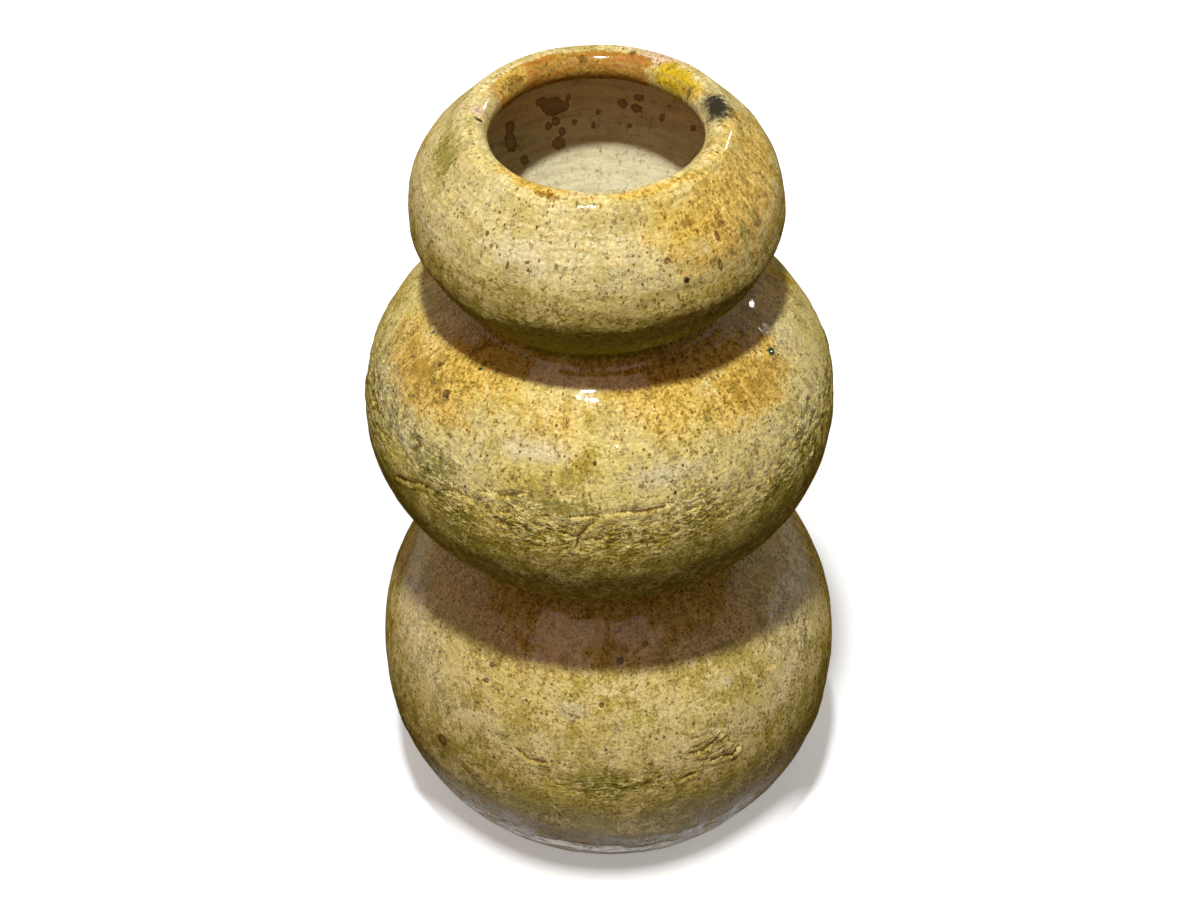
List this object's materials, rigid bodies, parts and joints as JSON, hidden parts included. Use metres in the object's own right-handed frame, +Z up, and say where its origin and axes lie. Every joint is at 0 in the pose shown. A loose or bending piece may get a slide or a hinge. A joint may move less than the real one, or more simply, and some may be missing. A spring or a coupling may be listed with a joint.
{
  "type": "ceramic vase",
  "caption": "Free-standing glazed ceramic vase of stacked bulbs luted at narrow waists, with a rolled lip and a round mouth for cut stems.",
  "frame": {"origin": "centre of the flat foot, on the surface that the vase stands on", "axes": "+Z up along the axis of the thrown body, towards the mouth; -Y is the side that the picture shows"},
  "size_m": [0.1668, 0.1668, 0.2997],
  "materials": {
    "top_glaze": "glossy mottled straw glaze over buff clay",
    "middle_glaze": "glossy amber and olive glaze over buff clay",
    "bottom_glaze": "glossy speckled beige glaze over buff clay",
    "luting_slip": "dry fired slip"
  },
  "bodies": {
    "root": {"bottom_bowl": "bottom_glaze", "bottom_belly_seam": "bottom_glaze", "bottom_shoulder": "bottom_glaze", "lower_waist_seam": "luting_slip", "lower_waist_coil": "middle_glaze", "middle_bowl": "middle_glaze", "middle_belly_seam": "middle_glaze", "middle_shoulder": "middle_glaze", "upper_waist_seam": "luting_slip", "upper_waist_coil": "middle_glaze", "top_bowl": "top_glaze", "top_belly_seam": "top_glaze", "top_shoulder": "top_glaze"}
  },
  "joints": []
}
